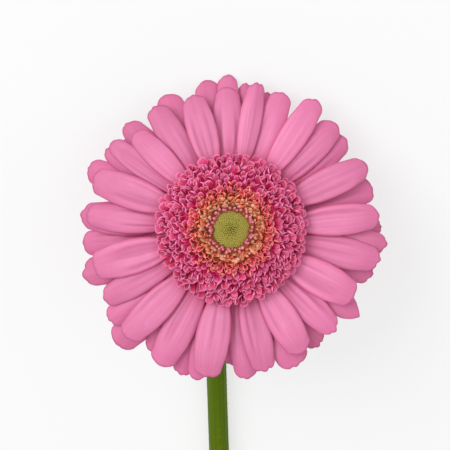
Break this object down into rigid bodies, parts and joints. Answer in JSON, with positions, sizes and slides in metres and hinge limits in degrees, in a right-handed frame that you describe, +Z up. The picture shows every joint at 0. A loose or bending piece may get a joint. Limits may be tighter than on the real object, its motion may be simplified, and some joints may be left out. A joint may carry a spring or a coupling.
{
  "type": "cut gerbera",
  "caption": "Cut daisy-like flower lying face up on its bent neck: a wide head of strap petals round a short-floreted disc, on a long bare stem.",
  "frame": {"origin": "on the surface the flower lies on, under the middle of its bounding box", "axes": "+Z up from that surface; +Y along the stem from the head to the cut end; the face of the head looks up and leans towards -Y, its own right-hand side towards -X"},
  "size_m": [0.1128, 0.4766, 0.0622],
  "materials": {
    "ray": "soft satin petal, lengthwise grooves",
    "trans_floret": "matt petal, paler curled tips",
    "disc_floret": "matt petal, peach tips",
    "bud": "matt, grainy",
    "bract": "matt, finely hairy",
    "receptacle": "matt, ribbed",
    "stem": "satin, lengthwise ribs, finely hairy"
  },
  "bodies": {
    "root": {"bracts_inner": "bract", "bracts_outer": "bract", "bud_disc": "bud", "disc_florets_inner": "disc_floret", "disc_florets_outer": "disc_floret", "ray_floret_01": "ray", "ray_floret_02": "ray", "ray_floret_03": "ray", "ray_floret_04": "ray", "ray_floret_05": "ray", "ray_floret_06": "ray", "ray_floret_07": "ray", "ray_floret_08": "ray", "ray_floret_09": "ray", "ray_floret_10": "ray", "ray_floret_11": "ray", "ray_floret_12": "ray", "ray_floret_13": "ray", "ray_floret_14": "ray", "ray_floret_15": "ray", "ray_floret_16": "ray", "ray_floret_17": "ray", "ray_floret_18": "ray", "ray_floret_19": "ray", "ray_floret_20": "ray", "ray_floret_21": "ray", "ray_floret_22": "ray", "ray_floret_23": "ray", "ray_floret_24": "ray", "ray_floret_25": "ray", "ray_floret_26": "ray", "ray_floret_27": "ray", "ray_floret_28": "ray", "ray_floret_29": "ray", "ray_floret_30": "ray", "ray_floret_31": "ray", "ray_floret_32": "ray", "ray_floret_33": "ray", "ray_floret_34": "ray", "ray_floret_35": "ray", "ray_floret_36": "ray", "ray_floret_37": "ray", "ray_floret_38": "ray", "ray_floret_39": "ray", "ray_floret_40": "ray", "ray_floret_41": "ray", "ray_floret_42": "ray", "ray_floret_43": "ray", "ray_floret_44": "ray", "ray_floret_45": "ray", "ray_floret_46": "ray", "ray_floret_47": "ray", "ray_floret_48": "ray", "ray_floret_49": "ray", "ray_floret_50": "ray", "receptacle": "receptacle", "stem": "stem", "trans_florets_inner": "trans_floret", "trans_florets_middle": "trans_floret", "trans_florets_outer": "trans_floret"}
  },
  "joints": []
}
